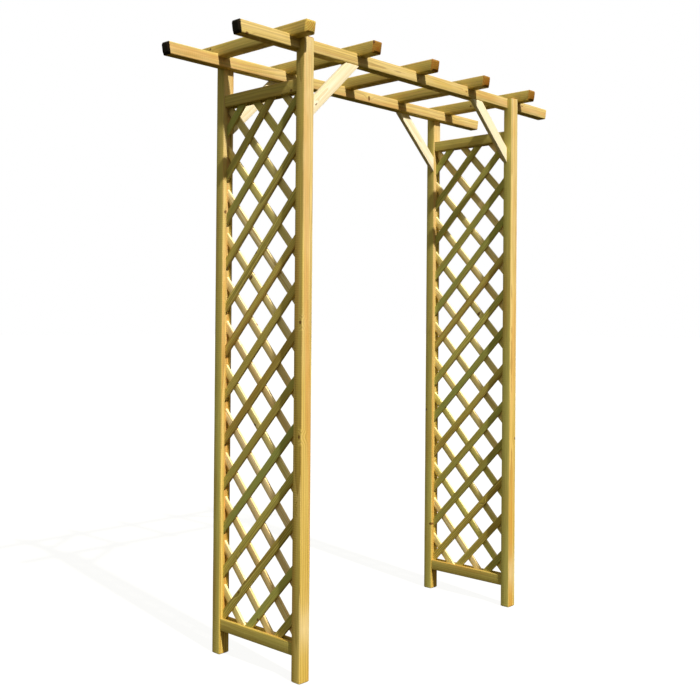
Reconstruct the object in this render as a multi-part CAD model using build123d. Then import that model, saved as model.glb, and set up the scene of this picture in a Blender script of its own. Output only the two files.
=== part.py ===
from build123d import *
import math
import os

# Flat-topped timber garden arch with a diamond lattice panel on each side.
# Millimetres. X runs across the walkway, -Y is the front and +Z is up.
# The origin is on the ground, midway between the four posts.

# ---------------------------------------------------------------- square timber
timber = 44.0                 # planed section of posts, beams and rafters
arris_radius = 4.0            # rounding along the edges of the timbers
end_slant = 7.0               # ends of beams and rafters lean in by this much at the bottom
end_bevel = 7.0               # bevel round the ends of beams and rafters
post_end_bevel = 3.0          # bevel round the heads and feet of the posts

# ---------------------------------------------------------------- overall sizes
overall_height = 2200.0       # ground to the top of the rafters
post_span = 1180.0            # left face of the left posts to right face of the right posts
post_depth = 488.0            # front face of the front posts to rear face of the rear posts
beam_overhang = 250.0         # beams run on past the posts
rafter_overhang = 65.0        # rafters run on past the posts
rafter_count = 5
rafter_notch_depth = 11.0     # how far the rafters drop over the beams
notch_clearance = 0.5         # a rafter notch is this much wider than its beam
post_rebate = 20.0            # depth cut from each post's head, where the beam sits

# ---------------------------------------------------------------- side panels
rail_width = 40.0             # along X
rail_height = 44.0
rail_arris_radius = 3.0
rail_setback = 4.0            # posts' left faces to rails' left faces
bottom_rail_clearance = 86.0  # ground to the bottom rails
top_rail_drop = 139.0         # tops of the beams down to the tops of the top rails
lath_width = 30.0
lath_thickness = 9.0
lath_arris_radius = 1.5
lath_setback = 16.0           # posts' left faces to the lattice
lattice_pitch = 160.0         # between crossings, along Y and along Z
lowest_crossing_rise = 50.0   # tops of the bottom rails up to the lowest middle crossing
groove_depth = 8.0            # grooves in posts and rails that hold the lath ends
groove_clearance = 0.5        # the grooves are this much wider than the lattice
lath_end_clearance = 0.5      # from lath ends to the groove floors beside and above them
lath_bundles = 7              # the laths of one layer are kept in this many bundles
dowel_diameter = 8.0
dowel_spread = 9.0            # the two dowels of a joint, each side of the rail's middle
dowel_in_post = 24.0
dowel_in_rail = 30.0
dowel_clearance = 0.1         # all round a dowel in its hole

# ---------------------------------------------------------------- knee braces
brace_width = 44.0
brace_thickness = 20.0
brace_arris_radius = 2.0
brace_reach = 230.0           # along the beam from the post, and down the post

# ---------------------------------------------------------------- screws and nails
screw_diameter = 4.5
screw_head_diameter = 9.0
screw_head_height = 3.0
screw_sink = 1.0              # heads lie this far below the timber
screw_recess_length = 5.0     # cross recess in a screw head
screw_recess_width = 1.2
screw_recess_depth = 1.5
screw_hole_clearance = 0.1    # all round a screw in its hole
rafter_screw_length = 60.0
post_screw_length = 58.0
post_screw_spread = 10.0      # the two screws of a post, each side of its middle
brace_screw_length = 44.0
brace_screw_set = 24.0        # brace screws, from the tip of each mitre
brace_screw_sink = 6.0        # brace screw heads, below the mitred edge
nail_diameter = 2.0
nail_head_diameter = 5.0
nail_head_height = 0.8
nail_length = 15.0
nail_hole_clearance = 0.1     # all round a nail in its hole

# ---------------------------------------------------------------- levels
beam_top = overall_height - timber + rafter_notch_depth
beam_bottom = beam_top - timber
rafter_bottom = overall_height - timber
bottom_rail_top = bottom_rail_clearance + rail_height
bottom_rail_z = bottom_rail_clearance + rail_height / 2
top_rail_z = beam_top - top_rail_drop - rail_height / 2
top_rail_bottom = top_rail_z - rail_height / 2
lowest_crossing = bottom_rail_top + lowest_crossing_rise

# ---------------------------------------------------------------- places in plan
left_post_x = -post_span / 2                        # left face of the left posts
right_post_x = post_span / 2 - timber               # left face of the right posts
end_rafter_x = post_span / 2 + timber / 2           # end rafters lie against the posts
beam_length = post_span + 2 * beam_overhang
rafter_length = post_depth + 2 * rafter_overhang
post_y = post_depth / 2 - timber / 2
inner_face_y = post_depth / 2 - timber              # faces of the posts that the rails meet
tongue_y = post_depth / 2 - timber + post_rebate    # outer side of the beams
beam_y = tongue_y - timber / 2
brace_y = tongue_y - brace_thickness / 2
rail_x = rail_setback + rail_width / 2
lattice_thickness = 2 * lath_thickness
lattice_x = lath_setback + lath_thickness
lath_reach_y = inner_face_y + groove_depth - lath_end_clearance
lath_low = bottom_rail_top - groove_depth
lath_high = top_rail_bottom + groove_depth - lath_end_clearance
post_x_of = {"left": left_post_x, "right": right_post_x}
way_of = {"front": -1, "rear": 1}

os.makedirs("parts", exist_ok=True)


# ---------------------------------------------------------------- shared shapes
def save(shape, name):
    """Write one named piece."""
    export_step(shape, "parts/" + name + ".step")


def block(x0, x1, y0, y1, z0, z1):
    """A box between two corners."""
    return Pos((x0 + x1) / 2, (y0 + y1) / 2, (z0 + z1) / 2) * Box(x1 - x0, y1 - y0, z1 - z0)


def bar(plane, length, width, height, radius):
    """A bar with rounded edges, centred on the origin and square to the plane."""
    return extrude(plane * RectangleRounded(width, height, radius), length / 2, both=True)


def shaped_end_bar(length):
    """A timber lying along X, centred on the origin, with slanted and bevelled ends."""
    half = length / 2
    side = Polyline(
        (-half, timber / 2),
        (half, timber / 2),
        (half - end_slant, -timber / 2),
        (-half + end_slant, -timber / 2),
        close=True,
    )
    outline = extrude(Plane.XZ * make_face(side), timber / 2, both=True)
    faces = outline.faces().sort_by(Axis.X)
    ends = faces[0].edges() + faces[-1].edges()
    outline = chamfer(ends, end_bevel)
    return outline & bar(Plane.YZ, length, timber, timber, arris_radius)


def kept_together(shapes):
    """Separate solids that make one named piece."""
    return Compound(children=list(shapes))


def drilled(shape, holes):
    """A shape with several holes cut in it."""
    for hole in holes:
        shape = shape - hole
    return shape


# ---------------------------------------------------------------- screws, nails, dowels
def screw(length):
    """A countersunk screw: its head's face is at the origin and its point is below."""
    outline = Polyline(
        (0, 0),
        (screw_head_diameter / 2, 0),
        (screw_diameter / 2, -screw_head_height),
        (screw_diameter / 2, screw_diameter - length),
        (0, -length),
        close=True,
    )
    body = revolve(Plane.XZ * make_face(outline), Axis.Z)
    depth = 2 * screw_recess_depth
    recess = Box(screw_recess_length, screw_recess_width, depth)
    recess += Box(screw_recess_width, screw_recess_length, depth)
    return body - recess


def screw_hole(length, mouth):
    """The hole round a screw, carried on upwards for the depth of the mouth."""
    head = screw_head_diameter / 2 + screw_hole_clearance
    shank = screw_diameter / 2 + screw_hole_clearance
    bottom = -length - screw_hole_clearance
    outline = Polyline(
        (0, mouth),
        (head, mouth),
        (head, 0),
        (shank, -screw_head_height),
        (shank, bottom),
        (0, bottom),
        close=True,
    )
    return revolve(Plane.XZ * make_face(outline), Axis.Z)


def nail():
    """A flat-headed nail pointing along -X, with the underside of its head at the origin."""
    head = Cylinder(nail_head_diameter / 2, nail_head_height)
    shank = Cylinder(nail_diameter / 2, nail_length)
    head = Pos(nail_head_height / 2, 0, 0) * Rot(0, 90, 0) * head
    shank = Pos(-nail_length / 2, 0, 0) * Rot(0, 90, 0) * shank
    return head + shank


def nail_hole():
    """The hole round a nail's shank, open past the head."""
    depth = nail_length + nail_hole_clearance
    length = depth + nail_head_height
    hole = Cylinder(nail_diameter / 2 + nail_hole_clearance, length)
    return Pos(length / 2 - depth, 0, 0) * Rot(0, 90, 0) * hole


def dowel():
    """A dowel along Y, with the face of the joint at the origin and the rail ahead of it."""
    length = dowel_in_post + dowel_in_rail - 2 * dowel_clearance
    pin = Cylinder(dowel_diameter / 2, length)
    return Pos(0, (dowel_in_rail - dowel_in_post) / 2, 0) * Rot(90, 0, 0) * pin


def dowel_hole():
    """The hole round a dowel, in the post and the rail together."""
    hole = Cylinder(dowel_diameter / 2 + dowel_clearance, dowel_in_post + dowel_in_rail)
    return Pos(0, (dowel_in_rail - dowel_in_post) / 2, 0) * Rot(90, 0, 0) * hole


# ---------------------------------------------------------------- where they go
def rafter_x(number):
    """The middle of a rafter: the outer two lie against the posts' outer faces."""
    return end_rafter_x * (2 * number / (rafter_count - 1) - 1)


def rafter_screw_places(number):
    """One upright screw through a rafter into each beam."""
    top = overall_height - screw_sink
    return [Pos(rafter_x(number), way * beam_y, top) for way in way_of.values()]


def post_screw_places(side, end):
    """Two level screws through a beam into the head of a post."""
    way = way_of[end]
    middle_x = post_x_of[side] + timber / 2
    face_y = way * (beam_y - timber / 2 + screw_sink)
    middle_z = beam_bottom + timber / 2
    places = []
    for step in (-post_screw_spread, post_screw_spread):
        places.append(Pos(middle_x + step, face_y, middle_z - step) * Rot(90 * way, 0, 0))
    return places


def brace_corner(side):
    """The post's inner face, and the way from it to the middle of the arch."""
    if side == "left":
        return left_post_x + timber, 1
    return right_post_x, -1


def brace_foot_screw_place(side, end):
    """A level screw through the foot of a brace into its post."""
    face_x, way = brace_corner(side)
    x = face_x + way * (brace_screw_set - brace_screw_sink)
    z = beam_bottom - brace_reach + brace_screw_set
    return Pos(x, way_of[end] * brace_y, z) * Rot(0, 90 * way, 0)


def brace_head_screw_place(side, end):
    """An upright screw through the head of a brace into its beam."""
    face_x, way = brace_corner(side)
    x = face_x + way * (brace_reach - brace_screw_set)
    z = beam_bottom - brace_screw_set + brace_screw_sink
    return Pos(x, way_of[end] * brace_y, z) * Rot(180, 0, 0)


def dowel_places(side, end, rail_z):
    """Two dowels side by side, where the end of a rail meets a post."""
    way = way_of[end]
    middle_x = post_x_of[side] + rail_x
    middles = [middle_x - dowel_spread, middle_x + dowel_spread]
    return [Pos(x, way * inner_face_y, rail_z) * Rot(0, 0, 90 + 90 * way) for x in middles]


def lath_rows():
    """Numbers of the laths of one layer, counted from the lowest middle crossing."""
    spare = lath_width / math.sqrt(2)
    lowest = bottom_rail_top - inner_face_y + spare
    highest = top_rail_bottom + inner_face_y - spare
    first = math.ceil((lowest - lowest_crossing) / lattice_pitch)
    last = math.floor((highest - lowest_crossing) / lattice_pitch)
    return list(range(first, last + 1))


def crossings():
    """Every point (y, z) inside a panel where a rising lath crosses a falling one."""
    points = []
    for rising in lath_rows():
        for falling in lath_rows():
            y = (rising - falling) * lattice_pitch / 2
            z = lowest_crossing + (rising + falling) * lattice_pitch / 2
            inside_y = abs(y) < inner_face_y - lath_width / 2
            inside_z = bottom_rail_top + lath_width / 2 < z < top_rail_bottom - lath_width / 2
            if inside_y and inside_z:
                points.append((y, z))
    return points


def nail_places(side):
    """One nail at every crossing, with its head on the right face of the lattice."""
    x = post_x_of[side] + lath_setback + lattice_thickness
    return [Pos(x, y, z) for y, z in crossings()]


# ---------------------------------------------------------------- posts
def post(side, end):
    """A post: rebated for the beam, and grooved on its inner face for the lath ends."""
    way = way_of[end]
    x0 = post_x_of[side]
    square = Pos(0, 0, beam_top / 2) * Box(timber, timber, beam_top)
    rims = square.faces().sort_by(Axis.Z)
    square = chamfer(rims[0].edges() + rims[-1].edges(), post_end_bevel)
    rounded = Pos(0, 0, beam_top / 2) * bar(Plane.XY, beam_top, timber, timber, arris_radius)
    shape = Pos(x0 + timber / 2, way * post_y, 0) * (square & rounded)
    inner = sorted((way * (inner_face_y - 1), way * tongue_y))
    shape -= block(x0 - 1, x0 + timber + 1, inner[0], inner[1], beam_bottom, beam_top + 1)
    groove = sorted((way * (inner_face_y - 1), way * (inner_face_y + groove_depth)))
    spare = (lattice_thickness + groove_clearance) / 2
    middle = x0 + lattice_x
    low = bottom_rail_top - groove_depth
    high = top_rail_bottom + groove_depth
    shape -= block(middle - spare, middle + spare, groove[0], groove[1], low, high)
    holes = [place * screw_hole(post_screw_length, 1) for place in post_screw_places(side, end)]
    holes.append(brace_foot_screw_place(side, end) * screw_hole(brace_screw_length, 1))
    for rail_z in (bottom_rail_z, top_rail_z):
        holes += [place * dowel_hole() for place in dowel_places(side, end, rail_z)]
    return drilled(shape, holes)


# ---------------------------------------------------------------- beams and rafters
def beam(end):
    """A beam across the front or rear pair of posts."""
    shape = Pos(0, way_of[end] * beam_y, beam_bottom + timber / 2) * shaped_end_bar(beam_length)
    holes = []
    for number in range(rafter_count):
        places = rafter_screw_places(number)
        holes += [place * screw_hole(rafter_screw_length, 1) for place in places]
    for side in post_x_of:
        holes += [place * screw_hole(post_screw_length, timber) for place in post_screw_places(side, end)]
        holes.append(brace_head_screw_place(side, end) * screw_hole(brace_screw_length, 1))
    return drilled(shape, holes)


def rafter(number):
    """A rafter across both beams, notched underneath to drop over them."""
    x = rafter_x(number)
    shape = Pos(x, 0, rafter_bottom + timber / 2) * Rot(0, 0, 90) * shaped_end_bar(rafter_length)
    spare = (timber + notch_clearance) / 2
    for way in way_of.values():
        middle = way * beam_y
        shape -= block(x - timber, x + timber, middle - spare, middle + spare, rafter_bottom - 1, beam_top)
    holes = [place * screw_hole(rafter_screw_length, timber) for place in rafter_screw_places(number)]
    return drilled(shape, holes)


# ---------------------------------------------------------------- knee braces
def brace(side, end):
    """A flat brace at 45 degrees, mitred to the post and to the underside of the beam."""
    face_x, way = brace_corner(side)
    middle = (brace_reach - brace_width / math.sqrt(2)) / 2
    slab = bar(Plane.XY, 2 * brace_reach, brace_width, brace_thickness, brace_arris_radius)
    corner = block(0, brace_reach, -timber, timber, -brace_reach, 0)
    shape = (Pos(middle, 0, -middle) * Rot(0, 45, 0) * slab) & corner
    if way < 0:
        shape = mirror(shape, Plane.YZ)
    shape = Pos(face_x, way_of[end] * brace_y, beam_bottom) * shape
    foot_hole = brace_foot_screw_place(side, end) * screw_hole(brace_screw_length, brace_reach)
    head_hole = brace_head_screw_place(side, end) * screw_hole(brace_screw_length, brace_reach)
    return drilled(shape, [foot_hole, head_hole])


# ---------------------------------------------------------------- lattice panels
def rail(side, rail_z, groove_way):
    """A rail between a front and a rear post, grooved on the side facing the lattice."""
    x0 = post_x_of[side]
    length = 2 * inner_face_y
    shape = Pos(x0 + rail_x, 0, rail_z) * bar(Plane.XZ, length, rail_width, rail_height, rail_arris_radius)
    face_z = rail_z + groove_way * rail_height / 2
    levels = sorted((face_z - groove_way * groove_depth, face_z + groove_way))
    spare = (lattice_thickness + groove_clearance) / 2
    middle = x0 + lattice_x
    half = inner_face_y + 1
    shape -= block(middle - spare, middle + spare, -half, half, levels[0], levels[1])
    holes = []
    for end in way_of:
        holes += [place * dowel_hole() for place in dowel_places(side, end, rail_z)]
    return drilled(shape, holes)


def lath(side, row, slope, holes):
    """One lath of a panel. Slope 1 rises towards the front and slope -1 falls towards it."""
    x = post_x_of[side] + lattice_x - slope * lath_thickness / 2
    z = lowest_crossing + row * lattice_pitch
    strip = bar(Plane.XY, 4 * lath_reach_y, lath_thickness, lath_width, lath_arris_radius)
    strip = Pos(x, 0, z) * Rot(45 * slope, 0, 0) * strip
    opening = block(x - timber, x + timber, -lath_reach_y, lath_reach_y, lath_low, lath_high)
    shape = strip & opening
    for y, crossing_z, hole in holes:
        if abs(z - slope * y - crossing_z) < lath_width:
            shape = shape - hole
    return shape


def lath_bundle(side, slope, bundle):
    """Neighbouring laths of one layer, as separate solids."""
    rows = lath_rows()
    first = bundle * len(rows) // lath_bundles
    last = (bundle + 1) * len(rows) // lath_bundles
    holes = [(y, z, place * nail_hole()) for (y, z), place in zip(crossings(), nail_places(side))]
    return kept_together(lath(side, row, slope, holes) for row in rows[first:last])


# ---------------------------------------------------------------- write every piece
def save_frame():
    """Posts, beams, rafters, braces and rails."""
    for end in way_of:
        save(beam(end), end + "_beam")
        for side in post_x_of:
            save(post(side, end), side + "_" + end + "_post")
            save(brace(side, end), side + "_" + end + "_brace")
    for number in range(rafter_count):
        save(rafter(number), "rafter_" + str(number + 1))
    for side in post_x_of:
        save(rail(side, bottom_rail_z, 1), side + "_bottom_rail")
        save(rail(side, top_rail_z, -1), side + "_top_rail")


def save_lattice():
    """The laths of both panels, in bundles, and their nails."""
    for side in post_x_of:
        for bundle in range(lath_bundles):
            number = "_" + str(bundle + 1)
            save(lath_bundle(side, 1, bundle), side + "_rising_laths" + number)
            save(lath_bundle(side, -1, bundle), side + "_falling_laths" + number)
        save(kept_together(place * nail() for place in nail_places(side)), side + "_lattice_nails")


def save_fasteners():
    """The screws and dowels of the frame."""
    corners = [(side, end) for side in post_x_of for end in way_of]
    rafter_places = []
    for number in range(rafter_count):
        rafter_places += rafter_screw_places(number)
    post_places = []
    pins = []
    for side, end in corners:
        post_places += post_screw_places(side, end)
        pins += dowel_places(side, end, bottom_rail_z) + dowel_places(side, end, top_rail_z)
    feet = [brace_foot_screw_place(side, end) for side, end in corners]
    heads = [brace_head_screw_place(side, end) for side, end in corners]
    save(kept_together(place * screw(rafter_screw_length) for place in rafter_places), "rafter_screws")
    save(kept_together(place * screw(post_screw_length) for place in post_places), "post_screws")
    save(kept_together(place * screw(brace_screw_length) for place in feet), "brace_foot_screws")
    save(kept_together(place * screw(brace_screw_length) for place in heads), "brace_head_screws")
    save(kept_together(place * dowel() for place in pins), "rail_dowels")


save_frame()
save_lattice()
save_fasteners()
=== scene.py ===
"""Builds the looks of a timber garden arch round its packed design model."""

import math
import random

import bmesh
import bpy
from mathutils import Euler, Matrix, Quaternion, Vector


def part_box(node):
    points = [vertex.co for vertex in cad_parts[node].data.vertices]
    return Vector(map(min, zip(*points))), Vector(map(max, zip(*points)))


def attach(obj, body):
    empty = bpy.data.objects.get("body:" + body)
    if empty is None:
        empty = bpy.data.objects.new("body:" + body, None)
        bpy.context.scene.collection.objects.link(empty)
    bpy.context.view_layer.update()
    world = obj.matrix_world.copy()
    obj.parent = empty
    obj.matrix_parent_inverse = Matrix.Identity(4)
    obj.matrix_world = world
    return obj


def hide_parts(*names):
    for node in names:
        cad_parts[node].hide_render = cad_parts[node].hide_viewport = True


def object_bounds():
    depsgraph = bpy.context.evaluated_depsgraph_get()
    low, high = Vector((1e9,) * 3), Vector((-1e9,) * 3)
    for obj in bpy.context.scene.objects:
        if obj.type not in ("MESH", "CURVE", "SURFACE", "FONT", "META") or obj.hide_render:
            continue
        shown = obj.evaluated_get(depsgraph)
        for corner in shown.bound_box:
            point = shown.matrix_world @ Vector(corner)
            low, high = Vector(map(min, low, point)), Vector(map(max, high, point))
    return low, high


bl_info = {
    "name": "Garden arch",
    "version": (1, 0, 0),
    "blender": (4, 5, 0),
    "location": "View3D > Sidebar > Garden arch",
    "description": "Models a pressure-treated timber arch with lattice sides",
    "category": "Object",
}

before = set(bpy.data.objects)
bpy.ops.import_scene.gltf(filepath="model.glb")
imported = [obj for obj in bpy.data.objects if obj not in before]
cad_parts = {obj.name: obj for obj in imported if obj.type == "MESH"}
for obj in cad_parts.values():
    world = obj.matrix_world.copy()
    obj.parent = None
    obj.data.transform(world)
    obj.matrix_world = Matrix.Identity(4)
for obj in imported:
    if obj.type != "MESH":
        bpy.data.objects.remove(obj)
CAD_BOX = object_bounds()

SIDES = ("left", "right")
ENDS = ("front", "rear")
RAFTERS = [name for name in sorted(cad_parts) if name.startswith("rafter_") and name[-1].isdigit()]
BUNDLES = sum(name.startswith("left_rising_laths_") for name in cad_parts)
X_AXIS = Vector((1, 0, 0))
Y_AXIS = Vector((0, 1, 0))
Z_AXIS = Vector((0, 0, 1))
MM = 0.001

# Points nearer to a plane than this lie on it.
NEAR = 1.0 * MM
# A cutter reaches this far past the faces that it cuts through.
OVERCUT = 1.0 * MM
# A housing is this much wider than the piece that it takes.
SPARE = 0.25 * MM
# Laths in one bundle lie further apart than this.
LATH_GAP = 20.0 * MM
# Rounded arrises have this many flats, and edges blunter than this angle are smoothed.
ARRIS_FLATS = 3
SMOOTH_ANGLE = math.radians(35)
# Cosines: of edges that run along a piece, of an end's own face, and of faces that show end grain.
RUNS_ALONG = 0.3
FACES_END = 0.9
SHOWS_END_GRAIN = 0.6

# How each kind of piece looks: how light it is, how green it is painted on faces turned from the key light
# as painted shade, how far its end grain has soaked, and how far it has bleached. Those left out take what
# lay_grain gives them.
# The beam ends take the full end tone, nearly black; they face away from the key light, so this is partly
# painted shade.
BEAM_TONE = {"light": 0.43, "green": 0.4, "end_tone": 1.0, "bleach_and_highlight": -0.15}
RAFTER_TONE = {"light": 0.46, "green": 0.35, "bleach_and_highlight": 0.05}
RAFTER_END_TONE = {"dry": 0.0, "soaked": 0.42}
RAIL_TONE = {"light": 0.42, "green": 0.6}
BRACE_TONE = {"light": 0.5, "green": 0.08, "end_tone": 0.02, "bleach_and_highlight": -0.5}
# How green each post is painted on faces turned from the key light: painted shade colour.
POST_PAINTED_SHADE_GREEN = {"left_front": 0.35, "left_rear": 0.7, "right_front": 0.85, "right_rear": 0.8}
# Laths differ from each other, so theirs are ranges. The falling laths' paler tone and bleach are
# partly painted light, for the light and highlights that their layer catches. Those on the right
# get a little painted fill light, as their panel stands in shade.
RISING_LIGHT, RISING_PAINTED_SHADE_GREEN = (0.4, 0.85), (0.0, 1.1)
FALLING_LIGHT, FALLING_PAINTED_SHADE_GREEN, FALLING_BLEACH_AND_HIGHLIGHT = (0.6, 0.95), (0.0, 0.8), (0.0, 0.3)
RIGHT_LATH_PAINTED_FILL = 0.1
LATH_END_TONE = 0.4

# Each front post has a pale patch low down: its height, its half height and how pale it is.
PALE_PATCH_HEIGHT = {"left": 0.19, "right": 0.15}
PALE_PATCH_REACH = 0.07
PALE_PATCH_PALENESS = 0.5
# Wood is paler with height: how much at the very top, and how steeply that comes on.
TOP_PALENESS = 0.5
TOP_POWER = 1.4
# Faces turned from the key light get painted fill light, this much lighter in tone, and lose most of
# that paleness, so the fronts and tops are painted paler as if lit.
PAINTED_FILL_LIFT = 0.08
PAINTED_SHADE_PALENESS_LOSS = 0.8

# The four woods: the settings that hold the colours of their spring growth, body, latewood,
# heartwood and stain, then the ring width in millimetres, the depth of the fibre streaks and
# the roughness.
WOODS = {
    # Pine, planed and pressure treated: yellow, tinted green on faces turned from the key light as painted
    # shade, with ring lines and amber bands, and a low sheen where the knives closed the fibres.
    "planed_treated_pine": (
        ("spring", "body", "latewood", "heartwood", "stain"), 7.0, 0.14, 0.6,
    ),
    # Spruce, planed and hardly stained: cream and nearly even, with faint rings.
    "planed_pale_spruce": (
        ("brace_spring", "brace_wood", "brace_late", "brace_heart", "stain"), 6.0, 0.05, 0.6,
    ),
    # Pine sapwood, sawn and deeply soaked: olive and streaky, its deep green painted on as shade on faces
    # turned from the key light, dull from its torn fibres.
    "sawn_olive_pine": (
        ("rising_spring", "rising_lath", "rising_late", "rising_heart", "lath_stain"), 5.0, 0.16, 0.72,
    ),
    # Pine, finely sawn and less soaked: tan, painted paler in part to stand in for the light that the falling
    # layer catches, with a trace more sheen.
    "sawn_tan_pine": (
        ("falling_spring", "falling_lath", "falling_late", "falling_heart", "stain"), 5.0, 0.12, 0.68,
    ),
}

# The floor gives most of its brightness by itself, so that shadows on it stay faint.
FLOOR_SIZE = 120.0
FLOOR_REFLECTS = 0.12
FLOOR_GLOWS = 0.93
# The fill turns from its lower to its upper colour between these heights, where 1 is straight up.
FILL_FROM, FILL_TO = -0.4, 0.5

# The camera stands at chest height. It turns from the X axis, and its rise and roll are slight.
CAMERA_PLACE = (-2.686, -2.732, 1.216)
CAMERA_HEADING = math.radians(39.40)
CAMERA_RISE = math.radians(0.41)
CAMERA_ROLL = math.radians(0.41)
CAMERA_LENS = 49.38
CAMERA_SENSOR = 36.0
CAMERA_SHIFT = (-0.1857, -0.0518)


# ---------------------------------------------------------------- sizes and colours
def srgb(code):
    """Turn a hex colour such as d3ae5d into linear red, green and blue."""
    channels = []
    for start in (0, 2, 4):
        value = int(code[start : start + 2], 16) / 255
        channels.append(value / 12.92 if value <= 0.04045 else ((value + 0.055) / 1.055) ** 2.4)
    return tuple(channels)


def length_property(name, description, millimetres):
    """A length shown in the scene's units."""
    return bpy.props.FloatProperty(
        name=name, description=description, default=millimetres * MM, min=0.0, unit="LENGTH"
    )


def colour_property(name, description, code):
    """A colour, given by its hex code."""
    return bpy.props.FloatVectorProperty(
        name=name, description=description, default=srgb(code), min=0.0, max=1.0, size=3, subtype="COLOR"
    )


def angle_property(name, description, degrees):
    """An angle, given in degrees."""
    return bpy.props.FloatProperty(
        name=name, description=description, default=math.radians(degrees), unit="ROTATION"
    )


class ArchTimberSizes(bpy.types.PropertyGroup):
    """Sizes that finish the timbers, beyond those of the design model."""

    arris: length_property("Arris radius", "Rounding along posts, beams and rafters", 4.0)
    end_bevel: length_property("End bevel", "Bevel round the ends of beams and rafters", 7.0)
    end_slant: length_property("End slant", "How far beam and rafter ends lean in", 7.0)
    post_bevel: length_property("Post end bevel", "Bevel round post heads and feet", 3.0)
    rail_arris: length_property("Rail arris radius", "Rounding along the rails", 3.0)
    brace_arris: length_property("Brace arris radius", "Rounding along the braces", 2.0)
    lath_arris: length_property("Lath arris radius", "Rounding along the laths", 1.5)
    lath_width: length_property("Lath width", "Width of a lath across the panel", 30.0)
    lath_thickness: length_property("Lath thickness", "Thickness of a lath", 9.0)
    waviness: length_property("Planer waviness", "Depth of the hollows left by planing", 0.7)
    lath_waviness: length_property("Lath waviness", "Depth of the hollows along the laths", 0.42)
    wave_length: length_property("Wave length", "Distance between the planed hollows", 90.0)
    cut_step: length_property("Cut step", "Distance between cross cuts in a timber's mesh", 45.0)


class ArchColours(bpy.types.PropertyGroup):
    """Colours of the wood and metal."""

    spring: colour_property("Spring growth", "Pale part of each growth ring", "dfc16e")
    body: colour_property("Body wood", "Middle of each growth ring", "cbb04e")
    latewood: colour_property("Latewood", "Dark line of each growth ring", "a78231")
    heartwood: colour_property("Heartwood", "Amber bands along the boards", "cc9842")
    # The pale wood that paleness mixes toward; on fronts and tops, and on the falling laths, it is partly
    # painted light.
    bleached_and_lit: colour_property("Bleached wood", "Wood that has dried pale near the top", "ead7a6")
    # The stains are laid only on faces turned from the key light, so their green is painted shade colour.
    stain: colour_property("Treatment stain", "Yellow-green of the copper treatment", "cbc36c")
    lath_stain: colour_property("Lath stain", "Deep green of the soaked rising laths", "a9ae5c")
    knot: colour_property("Knot", "Heart of a knot", "6b431c")
    end_grain: colour_property("End grain", "End grain in the light", "b58c40")
    # Reached only by the beam ends, which face away from the key light: partly painted shade.
    soaked_and_shaded_end: colour_property("Soaked end grain", "End grain that has soaked up treatment", "1f1a09")
    brace_spring: colour_property("Brace spring growth", "Pale part of the braces' rings", "faf3dc")
    brace_wood: colour_property("Brace wood", "Pale spruce of the braces", "f3e9cb")
    brace_late: colour_property("Brace latewood", "Dark line of the braces' rings", "e4d5ac")
    brace_heart: colour_property("Brace heartwood", "Warmer bands along the braces", "eedfba")
    rising_spring: colour_property("Rising spring growth", "Pale part of the rising laths' rings", "dccb76")
    rising_lath: colour_property("Rising laths", "Body colour of the rising laths", "c9b650")
    rising_late: colour_property("Rising latewood", "Dark line of the rising laths' rings", "907d36")
    rising_heart: colour_property("Rising heartwood", "Amber bands along the rising laths", "a88638")
    falling_spring: colour_property(
        "Falling spring growth", "Pale part of the falling laths' rings", "f8eac4"
    )
    falling_lath: colour_property("Falling laths", "Body colour of the falling laths", "f0dbac")
    falling_late: colour_property("Falling latewood", "Dark line of the falling laths' rings", "c8a767")
    falling_heart: colour_property("Falling heartwood", "Amber bands along the falling laths", "dcb878")
    zinc: colour_property("Zinc", "Zinc plating on screws and nails", "b9bcbc")
    beech: colour_property("Beech", "Dowels", "d9b98a")
    sky_fill: colour_property("Fill from above", "Fill light from the sides and above", "fffae0")
    ground_fill: colour_property("Fill from below", "Fill light from below", "62541f")
    key: colour_property("Key light", "Slightly warm light of the key", "fff8ec")
    floor: colour_property("Floor", "Plain pale floor", "fefefd")


class ArchStageSettings(bpy.types.PropertyGroup):
    """Light: the key and the fill."""

    key_strength: bpy.props.FloatProperty(name="Key light", description="Strength of the key", default=4.5)
    key_turn: angle_property("Key turn", "Key light, from straight ahead to the left", 9.7)
    key_height: angle_property("Key height", "Key light above the horizon", 43.3)
    key_softness: angle_property("Key softness", "Apparent width of the key light", 1.2)
    fill_strength: bpy.props.FloatProperty(name="Fill light", description="Strength of the fill", default=0.4)


# ---------------------------------------------------------------- edit-mode helpers
def deselect_all():
    """Leave nothing selected."""
    if bpy.context.object and bpy.context.object.mode != "OBJECT":
        bpy.ops.object.mode_set(mode="OBJECT")
    bpy.ops.object.select_all(action="DESELECT")


def select_only(piece):
    """Make one piece the selected and active object."""
    deselect_all()
    piece.select_set(True)
    bpy.context.view_layer.objects.active = piece


def node_box(name):
    """The lowest and highest corners of a design node."""
    low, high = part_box(name)
    return Vector(low), Vector(high)


def add_block(name, low, high):
    """Add a cube at its size and place, with its place in its mesh."""
    deselect_all()
    bpy.ops.mesh.primitive_cube_add(size=1.0, location=(low + high) / 2, scale=high - low)
    piece = bpy.context.object
    piece.name = name
    bpy.ops.object.transform_apply(location=True, rotation=True, scale=True)
    return piece


def pick_edges(piece, test):
    """In edit mode, select only the edges that pass a test."""
    select_only(piece)
    bpy.ops.object.mode_set(mode="EDIT")
    bpy.ops.mesh.select_mode(type="EDGE")
    bpy.ops.mesh.select_all(action="DESELECT")
    mesh = bmesh.from_edit_mesh(piece.data)
    for edge in mesh.edges:
        edge.select_set(test(edge))
    bmesh.update_edit_mesh(piece.data)


def direction(edge):
    """Unit vector along an edge."""
    return (edge.verts[1].co - edge.verts[0].co).normalized()


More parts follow.
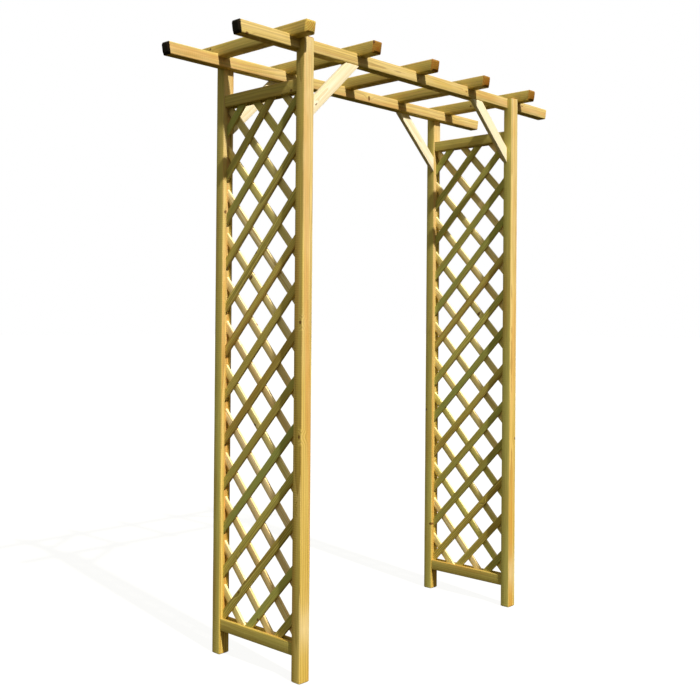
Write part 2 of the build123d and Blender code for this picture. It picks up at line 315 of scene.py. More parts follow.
def round_arrises(piece, along, radius):
    """Round every edge that runs along a piece, and the corners of its bevelled ends."""
    pick_edges(piece, lambda edge: abs(direction(edge).dot(along)) > RUNS_ALONG)
    bpy.ops.mesh.bevel(offset=radius, segments=ARRIS_FLATS, affect="EDGES")
    bpy.ops.object.mode_set(mode="OBJECT")


def bevel_ends(piece, along, width):
    """Bevel the edges round both ends of a piece."""
    def at_end(edge):
        return any(abs(face.normal.dot(along)) > FACES_END for face in edge.link_faces)

    pick_edges(piece, at_end)
    bpy.ops.mesh.bevel(offset=width, segments=1, affect="EDGES")
    bpy.ops.object.mode_set(mode="OBJECT")


def slant_ends(piece, along, low, high, slant):
    """Pull the bottom edge of each end in, so that the end leans."""
    for end, step in ((low.dot(along), slant), (high.dot(along), -slant)):
        def at_bottom(edge):
            return all(
                abs(point.co.dot(along) - end) < NEAR and abs(point.co.z - low.z) < NEAR
                for point in edge.verts
            )

        pick_edges(piece, at_bottom)
        bpy.ops.transform.translate(value=along * step)
        bpy.ops.object.mode_set(mode="OBJECT")


def copy_of(pattern, name, place, turn=0.0):
    """A copy of a pattern with its own mesh, turned about X and moved to its place."""
    select_only(pattern)
    bpy.ops.object.duplicate()
    piece = bpy.context.object
    piece.name = name
    piece.rotation_euler = (turn, 0, 0)
    piece.location = place
    bpy.ops.object.transform_apply(location=True, rotation=True, scale=True)
    return piece


def cut_away(piece, low, high):
    """Cut a box-shaped housing out of a piece."""
    cutter = add_block("cutter", low, high)
    select_only(piece)
    bpy.ops.object.modifier_add(type="BOOLEAN")
    boolean = piece.modifiers[-1]
    boolean.operation = "DIFFERENCE"
    boolean.solver = "EXACT"
    boolean.object = cutter
    bpy.ops.object.modifier_apply(modifier=boolean.name)
    bpy.data.objects.remove(cutter)


def cut_across(piece, along, start, stop, step):
    """Add cross cuts at even steps, so that a long face can carry slight hollows."""
    select_only(piece)
    bpy.ops.object.mode_set(mode="EDIT")
    count = max(1, round((stop - start) / step))
    for number in range(1, count):
        bpy.ops.mesh.select_all(action="SELECT")
        place = along * (start + (stop - start) * number / count)
        bpy.ops.mesh.bisect(plane_co=place, plane_no=along)
    bpy.ops.object.mode_set(mode="OBJECT")


def trim(piece, place, outward):
    """Saw a piece off at a plane and close the cut."""
    select_only(piece)
    bpy.ops.object.mode_set(mode="EDIT")
    bpy.ops.mesh.select_all(action="SELECT")
    bpy.ops.mesh.bisect(plane_co=place, plane_no=outward, use_fill=True, clear_outer=True)
    bpy.ops.object.mode_set(mode="OBJECT")


def hollow_faces(piece, depth, wave_length):
    """Sink the surface here and there by up to a given depth, and never raise it."""
    select_only(piece)
    texture = bpy.data.textures.get("planer_hollows") or bpy.data.textures.new("planer_hollows", "CLOUDS")
    texture.noise_scale = wave_length
    bpy.ops.object.modifier_add(type="DISPLACE")
    displace = piece.modifiers[-1]
    displace.texture = texture
    displace.texture_coords = "LOCAL"
    displace.mid_level = 1.0
    displace.strength = depth
    bpy.ops.object.modifier_apply(modifier=displace.name)


def smooth(piece):
    """Smooth the rounded arrises and keep the bevels crisp."""
    select_only(piece)
    bpy.ops.object.shade_smooth_by_angle(angle=SMOOTH_ANGLE)


def across(along):
    """Two directions square to a piece's length."""
    first = Z_AXIS if abs(along.z) < 0.9 else X_AXIS
    first = (first - along * first.dot(along)).normalized()
    return first, along.cross(first)


# ---------------------------------------------------------------- finishing a piece
def lay_grain(piece, along, light=0.5, green=0.25, end_tone=0.5, bleach_and_highlight=0.0, pale_patch_height=0.0):
    """Store each point's place in its board, and each face's tone, for the wood to follow.

    Faces turned from the key light get painted shade: a green tint, and a lighter tone that stands in
    for fill light. They keep little paleness, so fronts and tops are painted paler as if lit.
    The wood is paler high up, and a front post has a pale patch low down."""
    store_places(piece, along)
    mesh = piece.data
    tones = []
    dryness = []
    for face in mesh.polygons:
        is_end = abs(face.normal.dot(along)) > SHOWS_END_GRAIN
        # How far a face turns from the key light, which shines from the front and above; the painted shade
        # follows it.
        shade = 1 - max(0.0, -face.normal.y, face.normal.z)
        tones += [light + PAINTED_FILL_LIFT * shade, green * shade, end_tone if is_end else 0.0]
        for corner in face.vertices:
            z = mesh.vertices[corner].co.z
            pale = TOP_PALENESS * max(0.0, z / CAD_BOX[1][2]) ** TOP_POWER
            if pale_patch_height:
                pale += PALE_PATCH_PALENESS * math.exp(-(((z - pale_patch_height) / PALE_PATCH_REACH) ** 2))
            # Fronts and tops keep their paleness, painted paler as if lit; a falling lath's bleach also
            # stands in for a highlight.
            dry = bleach_and_highlight + pale * (1 - PAINTED_SHADE_PALENESS_LOSS * shade)
            dryness.append(0.0 if is_end else max(0.0, dry))
    # finish holds each face's lightness (lifted by painted fill light where shaded), its painted shade green
    # and its end tone.
    mesh.attributes.new("finish", "FLOAT_VECTOR", "FACE").data.foreach_set("vector", tones)
    mesh.attributes.new("dryness", "FLOAT", "CORNER").data.foreach_set("value", dryness)


def store_places(piece, along):
    """Store each point's place in the tree: across, across, and along the trunk.

    Each board is cut from its own tree. Its pith lies 24 to 60 mm off to one side and up to
    12 mm in a metre out of line, and the shift along it keeps two boards from looking alike."""
    chance = random.Random(piece.name)
    low, high = own_box(piece)
    middle = (low + high) / 2
    first, second = across(along)
    turn = chance.uniform(0, 2 * math.pi)
    pith = chance.uniform(24, 60) * MM
    lean = chance.uniform(-0.012, 0.012)
    shift = chance.uniform(0, 30)
    mesh = piece.data
    places = []
    for vertex in mesh.vertices:
        offset = vertex.co - middle
        run = offset.dot(along)
        places += [
            offset.dot(first) + pith * math.cos(turn) + lean * run,
            offset.dot(second) + pith * math.sin(turn),
            run + shift,
        ]
    mesh.attributes.new("grain", "FLOAT_VECTOR", "POINT").data.foreach_set("vector", places)


def own_box(piece):
    """The corners of a piece's own mesh."""
    points = [vertex.co for vertex in piece.data.vertices]
    low = Vector([min(point[axis] for point in points) for axis in range(3)])
    high = Vector([max(point[axis] for point in points) for axis in range(3)])
    return low, high


def hand_over(piece, material, nodes):
    """Give a finished piece its wood, its body and the design nodes that it stands for."""
    piece.data.materials.clear()
    piece.data.materials.append(material)
    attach(piece, "root")
    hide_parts(*nodes)


# ---------------------------------------------------------------- materials
def add(tree, kind, settings=None, inputs=None):
    """Add a shader node, with its settings and its input values or links."""
    node = tree.nodes.new("ShaderNode" + kind)
    for name, value in (settings or {}).items():
        setattr(node, name, value)
    for name, value in (inputs or {}).items():
        if isinstance(value, tuple) and isinstance(value[0], bpy.types.Node):
            tree.links.new(value[0].outputs[value[1]], node.inputs[name])
        else:
            node.inputs[name].default_value = value
    return node


def new_material(name):
    """An empty material and its principled shader."""
    material = bpy.data.materials.new(name)
    material.use_nodes = True
    tree = material.node_tree
    return material, tree, tree.nodes["Principled BSDF"]


def rgba(colour):
    """A colour with full opacity."""
    return (*colour, 1.0)


def board_noise(tree, grain, width, length, detail):
    """Noise that follows a board, in patches of a width and a length in millimetres."""
    scale = (1 / (width * MM), 1 / (width * MM), 1 / (length * MM))
    stretched = add(tree, "Mapping", inputs={"Vector": (grain, "Vector"), "Scale": scale})
    return add(tree, "TexNoise", inputs={"Vector": (stretched, "Vector"), "Scale": 1.0, "Detail": detail})


def knot_pattern(tree, grain):
    """The heart of each knot, and the wider halo that the grain flows round.

    Knots are branches that run out from the pith, so they lie by turn round it and by height:
    one in each cell of 5 radians by 250 mm, 5 to 7 mm in radius, in a halo of up to 35 mm."""
    apart = add(tree, "SeparateXYZ", inputs={"Vector": (grain, "Vector")})
    turn = add(tree, "Math", {"operation": "ARCTAN2"}, {0: (apart, "Y"), 1: (apart, "X")})
    round_pith = add(tree, "CombineXYZ", inputs={"X": (turn, "Value"), "Y": (apart, "Z")})
    cell = (1 / 5, 1 / (250 * MM), 0)
    cells = add(tree, "Mapping", inputs={"Vector": (round_pith, "Vector"), "Scale": cell})
    knots = add(
        tree,
        "TexVoronoi",
        {"feature": "F1", "voronoi_dimensions": "2D"},
        {"Vector": (cells, "Vector"), "Scale": 1.0},
    )
    heart = add(
        tree,
        "MapRange",
        {"interpolation_type": "SMOOTHSTEP"},
        {"Value": (knots, "Distance"), "From Min": 0.028, "From Max": 0.02, "To Max": 0.85},
    )
    halo = add(
        tree,
        "MapRange",
        {"interpolation_type": "SMOOTHSTEP"},
        {"Value": (knots, "Distance"), "From Min": 0.14, "From Max": 0.02},
    )
    return heart, halo


def ring_pattern(tree, grain, halo, ring_width):
    """Growth rings round the pith, a ring's width apart in millimetres.

    They wander by up to 17 mm over a metre or so, and bend 14 mm out of the way of a knot."""
    drift = board_noise(tree, grain, 333.3, 1111, 2.0)
    centred = add(tree, "VectorMath", {"operation": "SUBTRACT"}, {0: (drift, "Color"), 1: (0.5, 0.5, 0.5)})
    moved = add(
        tree,
        "VectorMath",
        {"operation": "MULTIPLY_ADD"},
        {0: (centred, "Vector"), 1: (35 * MM, 35 * MM, 0.0), 2: (grain, "Vector")},
    )
    bulge = add(tree, "CombineXYZ", inputs={"X": (halo, "Result")})
    flowing = add(
        tree,
        "VectorMath",
        {"operation": "MULTIPLY_ADD"},
        {0: (bulge, "Vector"), 1: (14 * MM, 0.0, 0.0), 2: (moved, "Vector")},
    )
    return add(
        tree,
        "TexWave",
        {"wave_type": "RINGS", "rings_direction": "Z", "wave_profile": "SAW"},
        {
            "Vector": (flowing, "Vector"),
            "Scale": wave_scale(ring_width),
            "Distortion": 1.2,
            "Detail": 2.0,
            "Detail Scale": 0.25,
        },
    )


def wave_scale(width):
    """The scale of a wave texture that repeats at a width in millimetres."""
    return 2 * math.pi / 20 / (width * MM)


def softwood(name, spring, body, late, heartwood, stain, ring_width, fibre_depth, roughness):
    """Pressure-treated softwood: growth rings, fibre streaks, amber bands, knots and soaked ends.

    The rings run round the pith that each board stores in its grain attribute, so they show as
    lines and flames along the faces and as arcs on the ends."""
    colours = bpy.context.scene.arch_colours
    material, tree, shader = new_material(name)
    grain = add(tree, "Attribute", {"attribute_name": "grain"})
    # The finish and paleness attributes carry painted shade and painted light from lay_grain.
    finish = add(tree, "Attribute", {"attribute_name": "finish"})
    dryness = add(tree, "Attribute", {"attribute_name": "dryness"})
    tone = add(tree, "SeparateXYZ", inputs={"Vector": (finish, "Vector")})
    heart, halo = knot_pattern(tree, grain)
    rings = ring_pattern(tree, grain, halo, ring_width)

    # A ring darkens slowly from its spring growth to its latewood, and then starts again.
    ring_colour = add(tree, "ValToRGB", inputs={"Fac": (rings, "Color")})
    stops = ring_colour.color_ramp.elements
    stops[0].color = rgba(spring)
    stops[1].position = 0.96
    stops[1].color = rgba(late)
    middle = stops.new(0.55)
    middle.color = rgba(body)
    last = stops.new(1.0)
    last.color = rgba(spring)

    # Amber heartwood runs in bands 20 mm wide and about a metre long.
    band = board_noise(tree, grain, 20, 909, 3.0)
    amber = add(
        tree,
        "MapRange",
        {"interpolation_type": "SMOOTHSTEP"},
        {"Value": (band, "Fac"), "From Min": 0.45, "From Max": 0.62, "To Max": 0.8},
    )
    warm = add(
        tree,
        "Mix",
        {"data_type": "RGBA"},
        {0: (amber, "Result"), 6: (ring_colour, "Color"), 7: rgba(heartwood)},
    )

    # The wood pales in patches of 33 by 125 mm, as far as its stored paleness goes; on faces that the key
    # light strikes that paleness is partly painted light.
    clouds = board_noise(tree, grain, 33.333, 125, 2.0)
    uneven = add(
        tree,
        "MapRange",
        inputs={"Value": (clouds, "Fac"), "From Min": 0.3, "From Max": 0.7, "To Min": 0.6, "To Max": 1.4},
    )
    paleness = add(
        tree,
        "Math",
        {"operation": "MULTIPLY", "use_clamp": True},
        {0: (uneven, "Result"), 1: (dryness, "Fac")},
    )
    dry = add(
        tree,
        "Mix",
        {"data_type": "RGBA"},
        {0: (paleness, "Value"), 6: (warm, 2), 7: rgba(colours.bleached_and_lit)},
    )

    # The treatment's stain tints the wood green, unevenly, in patches of 71 by 455 mm, only as far as a face
    # turns from the key light: painted shade colour.
    patches = board_noise(tree, grain, 71.4286, 454.545, 3.0)
    cast = add(
        tree,
        "MapRange",
        inputs={"Value": (patches, "Fac"), "From Min": 0.3, "From Max": 0.7, "To Min": 0.5, "To Max": 1.5},
    )
    painted_shade_greenness = add(
        tree, "Math", {"operation": "MULTIPLY", "use_clamp": True}, {0: (cast, "Result"), 1: (tone, "Y")}
    )
    stained = add(
        tree,
        "Mix",
        {"data_type": "RGBA"},
        {0: (painted_shade_greenness, "Value"), 6: (dry, 2), 7: rgba(stain)},
    )

    # Fibres are finer than a tenth of a millimetre. They are drawn as streaks 2.4 mm wide, to show.
    fibre = board_noise(tree, grain, 2.38095, 200, 3.0)
    fibre_tone = add(
        tree,
        "MapRange",
        inputs={
            "Value": (fibre, "Fac"),
            "From Min": 0.3,
            "From Max": 0.7,
            "To Min": 1 - fibre_depth,
            "To Max": 1 + fibre_depth,
        },
    )
    lightness = add(tree, "MapRange", inputs={"Value": (tone, "X"), "To Min": 0.6, "To Max": 1.4})
    total = add(
        tree, "Math", {"operation": "MULTIPLY"}, {0: (fibre_tone, "Result"), 1: (lightness, "Result")}
    )
    lit = add(tree, "VectorMath", {"operation": "SCALE"}, {0: (stained, 2), "Scale": (total, "Value")})
    knotty = add(
        tree,
        "Mix",
        {"data_type": "RGBA"},
        {0: (heart, "Result"), 6: (lit, "Vector"), 7: rgba(colours.knot)},
    )

    # End grain drinks treatment, so it is darker: from the wood's own colour to nearly black. The nearly
    # black end, which only the beam ends reach, is partly painted shade.
    soak = add(tree, "ValToRGB", inputs={"Fac": (tone, "Z")})
    soak_stops = soak.color_ramp.elements
    soak_stops[0].color = (1, 1, 1, 1)
    soak_stops[1].color = rgba(colours.soaked_and_shaded_end)
    brown = soak_stops.new(0.5)
    brown.color = rgba(colours.end_grain)
    soaked = add(
        tree,
        "Mix",
        {"data_type": "RGBA", "blend_type": "MULTIPLY"},
        {0: 1.0, 6: (knotty, 2), 7: (soak, "Color")},
    )
    tree.links.new(soaked.outputs[2], shader.inputs["Base Color"])

    # Dense fibres shine a little more than the soft wood between them.
    rough = add(
        tree,
        "MapRange",
        inputs={"Value": (fibre, "Fac"), "To Min": roughness + 0.12, "To Max": roughness - 0.08},
    )
    tree.links.new(rough.outputs["Result"], shader.inputs["Roughness"])
    # Latewood and fibres stand proud by up to a third of a millimetre.
    relief = add(
        tree, "Math", {"operation": "MULTIPLY_ADD"}, {0: (rings, "Fac"), 1: 0.5, 2: (fibre, "Fac")}
    )
    grooved = add(
        tree,
        "Bump",
        inputs={"Height": (relief, "Value"), "Strength": 0.5, "Distance": 0.35 * MM},
    )
    # Planer knives leave faint cross marks, 8 mm apart.
    marks = add(
        tree,
        "TexWave",
        {"bands_direction": "Z"},
        {
            "Vector": (grain, "Vector"),
            "Scale": wave_scale(8.0554),
            "Distortion": 0.6,
            "Detail": 1.0,
            "Detail Scale": 2.0,
        },
    )
    bump = add(
        tree,
        "Bump",
        inputs={
            "Height": (marks, "Fac"),
            "Strength": 0.6,
            "Distance": 0.3 * MM,
            "Normal": (grooved, "Normal"),
        },
    )
    tree.links.new(bump.outputs["Normal"], shader.inputs["Normal"])
    # Open fibres scatter most of the gloss that the solid wood would have.
    shader.inputs["IOR"].default_value = 1.5
    shader.inputs["Specular IOR Level"].default_value = 0.2
    return material


def wood_of(kind):
    """The wood that a kind of piece is cut from, made once."""
    made = bpy.data.materials.get(kind)
    if made:
        return made
    colours = bpy.context.scene.arch_colours
    names, ring_width, fibre_depth, roughness = WOODS[kind]
    shades = [getattr(colours, name) for name in names]
    return softwood(kind, *shades, ring_width, fibre_depth, roughness)


def zinc_plate():
    """Zinc plate, rolled in a barrel: dull grey metal, with a faint mottle 1.1 mm across."""
    colours = bpy.context.scene.arch_colours
    material, tree, shader = new_material("rolled_zinc_plate")
    place = add(tree, "TexCoord")
    mottle = add(tree, "TexNoise", inputs={"Vector": (place, "Object"), "Scale": 900.0, "Detail": 2.0})
    dull = rgba([0.7 * value for value in colours.zinc])
    shade = add(
        tree, "Mix", {"data_type": "RGBA"}, {0: (mottle, "Fac"), 6: dull, 7: rgba(colours.zinc)}
    )
    tree.links.new(shade.outputs[2], shader.inputs["Base Color"])
    rough = add(tree, "MapRange", inputs={"Value": (mottle, "Fac"), "To Min": 0.3, "To Max": 0.5})
    tree.links.new(rough.outputs["Result"], shader.inputs["Roughness"])
    shader.inputs["Metallic"].default_value = 1.0
    return material


def turned_beech():
    """Turned beech: even tan wood, with dark flecks of 1.1 by 8.3 mm along the dowel."""
    colours = bpy.context.scene.arch_colours
    material, tree, shader = new_material("turned_beech")
    place = add(tree, "TexCoord")
    along = add(tree, "Mapping", inputs={"Vector": (place, "Object"), "Scale": (900, 120, 900)})
    fleck = add(tree, "TexNoise", inputs={"Vector": (along, "Vector"), "Scale": 1.0, "Detail": 2.0})
    dark = rgba([0.75 * value for value in colours.beech])
    shade = add(
        tree, "Mix", {"data_type": "RGBA"}, {0: (fleck, "Fac"), 6: dark, 7: rgba(colours.beech)}
    )
    tree.links.new(shade.outputs[2], shader.inputs["Base Color"])
    shader.inputs["Roughness"].default_value = 0.6
    return material


# ---------------------------------------------------------------- the pieces
def square_timber(name, along, slant, bevel):
    """A planed square timber in the box of its design node."""
    sizes = bpy.context.scene.arch_sizes
    low, high = node_box(name)
    piece = add_block(name + "_wood", low, high)
    if slant:
        slant_ends(piece, along, low, high, slant)
    bevel_ends(piece, along, bevel)
    round_arrises(piece, along, sizes.arris)
    return piece, low, high


def finish_timber(piece, along):
    """Give a shaped timber its hollows and its smooth arrises."""
    sizes = bpy.context.scene.arch_sizes
    low, high = own_box(piece)
    cut_across(piece, along, low.dot(along), high.dot(along), sizes.cut_step)
    hollow_faces(piece, sizes.waviness, sizes.wave_length)
    smooth(piece)


class GARDENARCH_OT_posts(bpy.types.Operator):
    """Model the four posts, with the rebate for the beam and the groove for the laths"""

    bl_idname = "garden_arch.posts"
    bl_label = "Posts"

    def execute(self, context):
        sizes = context.scene.arch_sizes
        for side in SIDES:
            for end in ENDS:
                name = side + "_" + end + "_post"
                piece, low, high = square_timber(name, Z_AXIS, 0.0, sizes.post_bevel)
                beam_low, beam_high = node_box(end + "_beam")
                housing_low = Vector((low.x - OVERCUT, beam_low.y, beam_low.z))
                housing_high = Vector((high.x + OVERCUT, beam_high.y, high.z + OVERCUT))
                cut_away(piece, housing_low, housing_high)
                cut_away(piece, *lath_groove(side))
                finish_timber(piece, Z_AXIS)
                pale_patch = PALE_PATCH_HEIGHT[side] if end == "front" else 0.0
                lay_grain(piece, Z_AXIS, green=POST_PAINTED_SHADE_GREEN[side + "_" + end], pale_patch_height=pale_patch)
                hand_over(piece, wood_of("planed_treated_pine"), [name])
        return {"FINISHED"}


def lath_groove(side):
    """The box that a panel's laths fill, and so the groove that posts and rails have for them."""
    low = lattice_box(side, "rising")[0]
    high = lattice_box(side, "falling")[1]
    spare = Vector((SPARE, SPARE, SPARE))
    return low - spare, high + spare


def lattice_box(side, layer):
    """The box round one layer of a panel's laths."""
    corners = [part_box("%s_%s_laths_%d" % (side, layer, number + 1)) for number in range(BUNDLES)]
    low = Vector([min(box[0][axis] for box in corners) for axis in range(3)])
    high = Vector([max(box[1][axis] for box in corners) for axis in range(3)])
    return low, high


class GARDENARCH_OT_beams(bpy.types.Operator):
    """Model the two beams"""

    bl_idname = "garden_arch.beams"
    bl_label = "Beams"

    def execute(self, context):
        sizes = context.scene.arch_sizes
        for end in ENDS:
            name = end + "_beam"
            piece = square_timber(name, X_AXIS, sizes.end_slant, sizes.end_bevel)[0]
            finish_timber(piece, X_AXIS)
            lay_grain(piece, X_AXIS, **BEAM_TONE)
            hand_over(piece, wood_of("planed_treated_pine"), [name])
        return {"FINISHED"}


class GARDENARCH_OT_rafters(bpy.types.Operator):
    """Model the rafters, notched over both beams"""

    bl_idname = "garden_arch.rafters"
    bl_label = "Rafters"

    def execute(self, context):
        pattern, low = self.pattern(context)
        for name in RAFTERS:
            piece = copy_of(pattern, name + "_wood", node_box(name)[0] - low)
            finish_timber(piece, Y_AXIS)
            end_tone = RAFTER_END_TONE["dry" if name == RAFTERS[0] else "soaked"]
            lay_grain(piece, Y_AXIS, end_tone=end_tone, **RAFTER_TONE)
            hand_over(piece, wood_of("planed_treated_pine"), [name])
        bpy.data.objects.remove(pattern)
        return {"FINISHED"}

    def pattern(self, context):
        """One notched rafter, in the place of the first; every rafter is a copy of it."""
        sizes = context.scene.arch_sizes
        piece, low, high = square_timber(RAFTERS[0], Y_AXIS, sizes.end_slant, sizes.end_bevel)
        piece.name = "rafter_pattern"
        for end in ENDS:
            beam_low, beam_high = node_box(end + "_beam")
            notch_low = Vector((low.x - OVERCUT, beam_low.y - SPARE, low.z - OVERCUT))
            notch_high = Vector((high.x + OVERCUT, beam_high.y + SPARE, beam_high.z))
            cut_away(piece, notch_low, notch_high)
        return piece, low


class GARDENARCH_OT_rails(bpy.types.Operator):
    """Model the rails above and below each lattice panel"""

    bl_idname = "garden_arch.rails"
    bl_label = "Rails"

    def execute(self, context):
        sizes = context.scene.arch_sizes
        for side in SIDES:
            for level in ("bottom", "top"):
                name = side + "_" + level + "_rail"
                low, high = node_box(name)
                piece = add_block(name + "_wood", low, high)
                round_arrises(piece, Y_AXIS, sizes.rail_arris)
                groove_low, groove_high = lath_groove(side)
                groove_low.y = low.y - OVERCUT
                groove_high.y = high.y + OVERCUT
                cut_away(piece, groove_low, groove_high)
                finish_timber(piece, Y_AXIS)
                lay_grain(piece, Y_AXIS, **RAIL_TONE)
                hand_over(piece, wood_of("planed_treated_pine"), [name])
        return {"FINISHED"}


class GARDENARCH_OT_braces(bpy.types.Operator):
    """Model the four knee braces, mitred to post and beam"""

    bl_idname = "garden_arch.braces"
    bl_label = "Knee braces"

    def execute(self, context):
        sizes = context.scene.arch_sizes
        for side in SIDES:
            way = 1 if side == "left" else -1
            for end in ENDS:
                name = side + "_" + end + "_brace"
                low, high = node_box(name)
                beam_low, beam_high = node_box(end + "_beam")
                along = Vector((way, 0, 1)).normalized()
                inward = Vector((way, 0, -1)).normalized()
                foot = Vector((low.x if way > 0 else high.x, 0, low.z))
                width = beam_high.y - beam_low.y
                piece = add_block(name + "_wood", low, high)
                trim(piece, foot, inward)
                trim(piece, foot - inward * width, -inward)
                round_arrises(piece, along, sizes.brace_arris)
                finish_timber(piece, along)
                lay_grain(piece, along, **BRACE_TONE)
                hand_over(piece, wood_of("planed_pale_spruce"), [name])
        return {"FINISHED"}


class GARDENARCH_OT_laths(bpy.types.Operator):
    """Model the lattice: one lath is made, then copied, placed and trimmed"""

    bl_idname = "garden_arch.laths"
    bl_label = "Lattice laths"

    def execute(self, context):
        panel_low, panel_high = lattice_box("left", "rising")
        pattern = lath_pattern(panel_high.y - panel_low.y)
        for side in SIDES:
            for layer, slope in (("rising", 1), ("falling", -1)):
                low, high = lattice_box(side, layer)
                for number in range(BUNDLES):
                    name = "%s_%s_laths_%d" % (side, layer, number + 1)
                    self.bundle(context, pattern, name, slope, low, high)
        bpy.data.objects.remove(pattern)
        return {"FINISHED"}

    def bundle(self, context, pattern, name, slope, low, high):
        """Copy and trim the laths of one bundle and join them into one piece."""
        along = Vector((0, -slope, 1)).normalized()
        laths = []
        for place in lath_places(name, slope):
            lath = copy_of(pattern, name + "_part", place, slope * math.pi / 4)
            for plane, outward in ((low, -Y_AXIS), (high, Y_AXIS), (low, -Z_AXIS), (high, Z_AXIS)):
                trim(lath, plane, outward)
            laths.append(lath)
        for lath in laths:
            self.tone(lath, along, slope > 0, name.startswith("right"))
        select_only(laths[0])
        for lath in laths[1:]:
            lath.select_set(True)
        if len(laths) > 1:
            bpy.ops.object.join()
        piece = bpy.context.object
        piece.name = name + "_wood"
        sizes = context.scene.arch_sizes
        hollow_faces(piece, sizes.lath_waviness, sizes.wave_length)
        smooth(piece)
        kind = "sawn_olive_pine" if slope > 0 else "sawn_tan_pine"
        hand_over(piece, wood_of(kind), [name])

    def tone(self, lath, along, rises, on_right):
        """Give a lath its grain, and a tone of its own."""
        chance = random.Random(lath.name)
        light = chance.uniform(*(RISING_LIGHT if rises else FALLING_LIGHT))
        # The right panel stands in shade, so its laths get a little painted fill light.
        if on_right:
            light += RIGHT_LATH_PAINTED_FILL
        green = chance.uniform(*(RISING_PAINTED_SHADE_GREEN if rises else FALLING_PAINTED_SHADE_GREEN))
        # A falling lath's bleach partly stands in for a highlight: painted light.
        bleach_and_highlight = 0.0 if rises else chance.uniform(*FALLING_BLEACH_AND_HIGHLIGHT)
        lay_grain(lath, along, light, green, LATH_END_TONE, bleach_and_highlight)


def lath_places(name, slope):
    """The middle of each lath in a bundle, found from the design node's own solids."""
    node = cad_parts[name]
    # A point's height plus its depth, or less it, is the same all along a lath's middle.
    levels = sorted(vertex.co.z + slope * vertex.co.y for vertex in node.data.vertices)
    groups = [[levels[0]]]
    for level in levels[1:]:
        if level - groups[-1][-1] > LATH_GAP:
            groups.append([])
        groups[-1].append(level)
    low, high = node_box(name)
    middle_x = (low.x + high.x) / 2
    return [Vector((middle_x, 0, (group[0] + group[-1]) / 2)) for group in groups]


def lath_pattern(span):
    """One upright lath, longer than its panel; every lath is a trimmed copy of it."""
    sizes = bpy.context.scene.arch_sizes
    half = Vector((sizes.lath_thickness, sizes.lath_width, 2 * span)) / 2
    piece = add_block("lath_pattern", -half, half)
    round_arrises(piece, Z_AXIS, sizes.lath_arris)
    cut_across(piece, Z_AXIS, -span, span, sizes.cut_step)
    return piece


class GARDENARCH_OT_fasteners(bpy.types.Operator):
    """Finish the screws, nails and dowels"""

    bl_idname = "garden_arch.fasteners"
    bl_label = "Screws, nails and dowels"

    def execute(self, context):
        zinc = zinc_plate()
        beech = turned_beech()
        for name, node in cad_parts.items():
            if "screws" in name or "nails" in name or "dowels" in name:
                node.data.materials.clear()
                node.data.materials.append(beech if "dowels" in name else zinc)
        return {"FINISHED"}


class GARDENARCH_OT_stage(bpy.types.Operator):
    """Add the floor, the lights and the camera"""

    bl_idname = "garden_arch.stage"
    bl_label = "Stage"

    def execute(self, context):
        add_floor()
        add_key()
        add_fill()
        add_camera()
        return {"FINISHED"}


def add_floor():
    """A plain pale floor that shows only faint shadows."""
    colour = bpy.context.scene.arch_colours.floor
    deselect_all()
    bpy.ops.mesh.primitive_plane_add(size=FLOOR_SIZE, location=(0, 0, 0))
    floor = bpy.context.object
    floor.name = "floor"
    material, tree, shader = new_material("pale_floor")
    shader.inputs["Base Color"].default_value = rgba([FLOOR_REFLECTS * value for value in colour])
    shader.inputs["Roughness"].default_value = 1.0
    shader.inputs["Specular IOR Level"].default_value = 0.0
    shader.inputs["Emission Color"].default_value = rgba(colour)
    shader.inputs["Emission Strength"].default_value = FLOOR_GLOWS
    floor.data.materials.append(material)
    floor.visible_diffuse = False
    floor.visible_glossy = False


def add_key():
    """One soft key light from the front, a little to the left."""
    stage = bpy.context.scene.arch_stage
    deselect_all()
    bpy.ops.object.light_add(type="SUN")
    key = bpy.context.object
    key.name = "key_light"
    key.rotation_euler = (math.pi / 2 - stage.key_height, 0, -stage.key_turn)
    key.data.energy = stage.key_strength
    key.data.angle = stage.key_softness
    key.data.color = bpy.context.scene.arch_colours.key


def add_fill():
    """An even fill from all round, warmer from below, in front of white paper."""
    colours = bpy.context.scene.arch_colours
    world = bpy.data.worlds.new("studio")
    bpy.context.scene.world = world
    world.use_nodes = True
    tree = world.node_tree
    fill = tree.nodes["Background"]
    way = add(tree, "TexCoord")
    height = add(tree, "SeparateXYZ", inputs={"Vector": (way, "Generated")})
    above = add(
        tree, "MapRange", inputs={"Value": (height, "Z"), "From Min": FILL_FROM, "From Max": FILL_TO}
    )
    glow = add(
        tree,
        "Mix",
        {"data_type": "RGBA"},
        {0: (above, "Result"), 6: rgba(colours.ground_fill), 7: rgba(colours.sky_fill)},
    )
    tree.links.new(glow.outputs[2], fill.inputs["Color"])
    fill.inputs["Strength"].default_value = bpy.context.scene.arch_stage.fill_strength
    paper = add(tree, "Background", inputs={"Color": (1, 1, 1, 1), "Strength": 1.0})
    seen = add(tree, "LightPath")
    both = add(
        tree,
        "MixShader",
        inputs={0: (seen, "Is Camera Ray"), 1: (fill, "Background"), 2: (paper, "Background")},
    )
    tree.links.new(both.outputs["Shader"], tree.nodes["World Output"].inputs["Surface"])


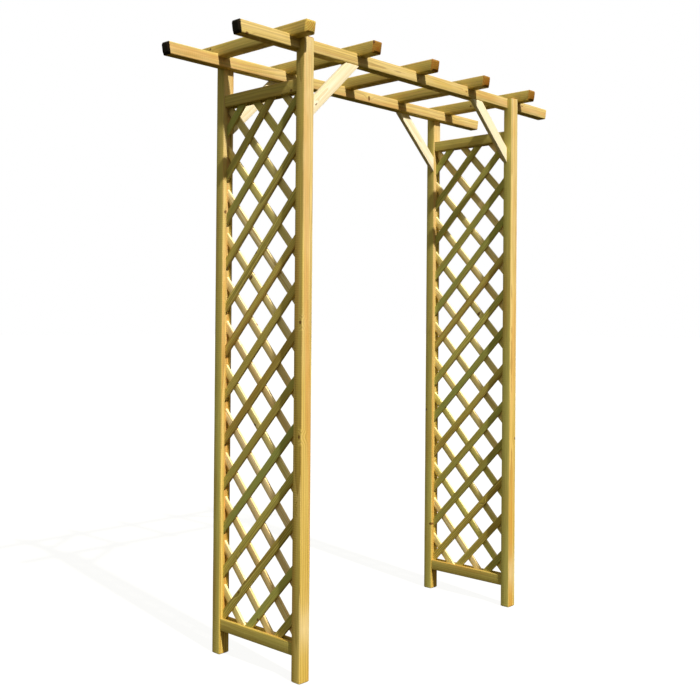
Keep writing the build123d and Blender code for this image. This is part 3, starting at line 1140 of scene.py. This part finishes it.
def add_camera():
    """A camera at chest height, to the front and left of the arch."""
    deselect_all()
    bpy.ops.object.camera_add(location=CAMERA_PLACE)
    camera = bpy.context.object
    camera.name = "camera"
    level = Euler((math.pi / 2 + CAMERA_RISE, 0, CAMERA_HEADING - math.pi / 2)).to_quaternion()
    camera.rotation_mode = "QUATERNION"
    camera.rotation_quaternion = level @ Quaternion(Z_AXIS, CAMERA_ROLL)
    camera.data.sensor_width = CAMERA_SENSOR
    camera.data.lens = CAMERA_LENS
    camera.data.shift_x, camera.data.shift_y = CAMERA_SHIFT
    bpy.context.scene.camera = camera
    bpy.context.scene.view_settings.view_transform = "Standard"


OPERATORS = (
    GARDENARCH_OT_posts,
    GARDENARCH_OT_beams,
    GARDENARCH_OT_rafters,
    GARDENARCH_OT_rails,
    GARDENARCH_OT_braces,
    GARDENARCH_OT_laths,
    GARDENARCH_OT_fasteners,
    GARDENARCH_OT_stage,
)


class GARDENARCH_PT_panel(bpy.types.Panel):
    """Lists the pieces of the arch and their sizes and colours"""

    bl_idname = "GARDENARCH_PT_panel"
    bl_label = "Garden arch"
    bl_space_type = "VIEW_3D"
    bl_region_type = "UI"
    bl_category = "Garden arch"

    def draw(self, context):
        layout = self.layout
        for group in (context.scene.arch_sizes, context.scene.arch_colours, context.scene.arch_stage):
            box = layout.box()
            for name in group.__annotations__:
                box.prop(group, name)
        for operator in OPERATORS:
            layout.operator(operator.bl_idname)


CLASSES = (ArchTimberSizes, ArchColours, ArchStageSettings, *OPERATORS, GARDENARCH_PT_panel)


def register():
    """Register the classes and hang the settings on the scene."""
    for cls in CLASSES:
        bpy.utils.register_class(cls)
    bpy.types.Scene.arch_sizes = bpy.props.PointerProperty(type=ArchTimberSizes)
    bpy.types.Scene.arch_colours = bpy.props.PointerProperty(type=ArchColours)
    bpy.types.Scene.arch_stage = bpy.props.PointerProperty(type=ArchStageSettings)


def unregister():
    """Undo register."""
    del bpy.types.Scene.arch_stage
    del bpy.types.Scene.arch_colours
    del bpy.types.Scene.arch_sizes
    for cls in reversed(CLASSES):
        bpy.utils.unregister_class(cls)


def main():
    """Build every piece."""
    register()
    bpy.ops.garden_arch.posts()
    bpy.ops.garden_arch.beams()
    bpy.ops.garden_arch.rafters()
    bpy.ops.garden_arch.rails()
    bpy.ops.garden_arch.braces()
    bpy.ops.garden_arch.laths()
    bpy.ops.garden_arch.fasteners()
    bpy.ops.garden_arch.stage()
    deselect_all()


if __name__ == "__main__":
    main()
